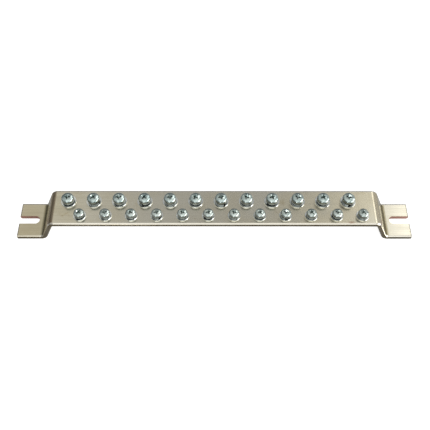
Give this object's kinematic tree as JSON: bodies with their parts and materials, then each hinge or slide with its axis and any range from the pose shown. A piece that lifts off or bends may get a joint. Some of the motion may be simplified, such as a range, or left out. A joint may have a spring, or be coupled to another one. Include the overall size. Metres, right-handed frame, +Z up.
{
  "type": "earth terminal bar",
  "caption": "Plated copper earth bar: joggled strap on two slotted feet, with a row of large and a row of small terminal screws.",
  "frame": {"origin": "on the plane under the feet, midway between the feet's ends and on the strap's centre line", "axes": "+X along the bar, +Y across it towards the row of large screws, +Z up from the feet to the screws"},
  "size_m": [0.3172, 0.032, 0.0313],
  "materials": {
    "plated_strap": "satin tin and nickel plating on copper, warm grey",
    "zinc_screw": "bright blue-white zinc plating",
    "zinc_spring": "bright zinc plating over rolled spring wire",
    "zinc_washer": "bright zinc plating on stamped steel"
  },
  "bodies": {
    "root": {"bar": "plated_strap", "large_screw_01": "zinc_screw", "large_screw_02": "zinc_screw", "large_screw_03": "zinc_screw", "large_screw_04": "zinc_screw", "large_screw_05": "zinc_screw", "large_screw_06": "zinc_screw", "large_screw_07": "zinc_screw", "large_screw_08": "zinc_screw", "large_screw_09": "zinc_screw", "large_screw_10": "zinc_screw", "large_screw_11": "zinc_screw", "large_screw_12": "zinc_screw", "small_screw_01": "zinc_screw", "small_screw_02": "zinc_screw", "small_screw_03": "zinc_screw", "small_screw_04": "zinc_screw", "small_screw_05": "zinc_screw", "small_screw_06": "zinc_screw", "small_screw_07": "zinc_screw", "small_screw_08": "zinc_screw", "small_screw_09": "zinc_screw", "small_screw_10": "zinc_screw", "small_screw_11": "zinc_screw", "small_screw_12": "zinc_screw", "large_spring_washer_01": "zinc_spring", "large_spring_washer_02": "zinc_spring", "large_spring_washer_03": "zinc_spring", "large_spring_washer_04": "zinc_spring", "large_spring_washer_05": "zinc_spring", "large_spring_washer_06": "zinc_spring", "large_spring_washer_07": "zinc_spring", "large_spring_washer_08": "zinc_spring", "large_spring_washer_09": "zinc_spring", "large_spring_washer_10": "zinc_spring", "large_spring_washer_11": "zinc_spring", "large_spring_washer_12": "zinc_spring", "small_spring_washer_01": "zinc_spring", "small_spring_washer_02": "zinc_spring", "small_spring_washer_03": "zinc_spring", "small_spring_washer_04": "zinc_spring", "small_spring_washer_05": "zinc_spring", "small_spring_washer_06": "zinc_spring", "small_spring_washer_07": "zinc_spring", "small_spring_washer_08": "zinc_spring", "small_spring_washer_09": "zinc_spring", "small_spring_washer_10": "zinc_spring", "small_spring_washer_11": "zinc_spring", "small_spring_washer_12": "zinc_spring", "large_flat_washers": "zinc_washer", "small_flat_washers": "zinc_washer"}
  },
  "joints": []
}
